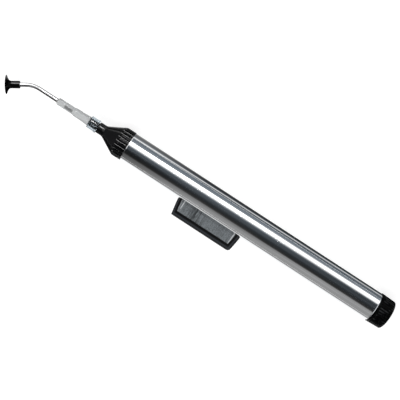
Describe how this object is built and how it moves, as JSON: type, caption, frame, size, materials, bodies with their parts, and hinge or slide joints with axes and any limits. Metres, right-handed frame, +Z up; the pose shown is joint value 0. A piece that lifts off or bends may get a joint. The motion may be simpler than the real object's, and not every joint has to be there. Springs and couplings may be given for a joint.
{
  "type": "vacuum pick up pen",
  "caption": "Hand pen that lifts small parts by suction: round metal barrel, squeeze button, fluted nose, bent needle on a clear hub and a rubber cup.",
  "frame": {"origin": "under the middle of the pen's box, on the surface that it lies on", "axes": "+X along the barrel towards the tail, -Y towards the button, +Z up"},
  "size_m": [0.234, 0.0262, 0.0166],
  "materials": {
    "barrel_metal": "polished drawn tube",
    "black_plastic": "semi-gloss moulding",
    "button_plastic": "moulded, lined sides",
    "inner_plastic": "natural moulding",
    "hub_plastic": "milky clear moulding",
    "bond_resin": "clear cured bead",
    "needle_steel": "polished tube",
    "band_metal": "crimped band",
    "bulb_rubber": "soft moulded",
    "seal_rubber": "moulded ring",
    "cup_rubber": "smooth moulded"
  },
  "bodies": {
    "barrel": {"barrel_tube": "barrel_metal", "nose_cone": "black_plastic", "nose_seal": "seal_rubber", "cradle_tray": "inner_plastic", "squeeze_bulb": "bulb_rubber", "bulb_collar": "band_metal"},
    "button": {"thumb_button": "button_plastic", "push_carrier": "inner_plastic"},
    "needle": {"needle_hub": "hub_plastic", "needle_bond": "bond_resin", "needle_tube": "needle_steel"},
    "cup": {"suction_cup": "cup_rubber"},
    "cap": {"tail_cap": "black_plastic", "cap_seal": "seal_rubber"}
  },
  "joints": [
    {"name": "button_press", "type": "slide", "parent": "barrel", "child": "button", "axis": [0, 0.9619, 0.2735], "range_m": [0, 0.005], "stiffness_N_per_m": 500, "springref_m": -0.001, "deforming": ["squeeze_bulb"]},
    {"name": "needle_turn", "type": "hinge", "parent": "barrel", "child": "needle", "pos_m": [-0.06281, 0.00482, 0.0083], "axis": [-1, 0, 0], "continuous": true},
    {"name": "cup_pull", "type": "slide", "parent": "needle", "child": "cup", "axis": [-0.848, -0.5223, 0.0895], "range_m": [0, 0.006]},
    {"name": "cap_pull", "type": "slide", "parent": "barrel", "child": "cap", "axis": [1, 0, 0], "range_m": [0, 0.008]}
  ]
}
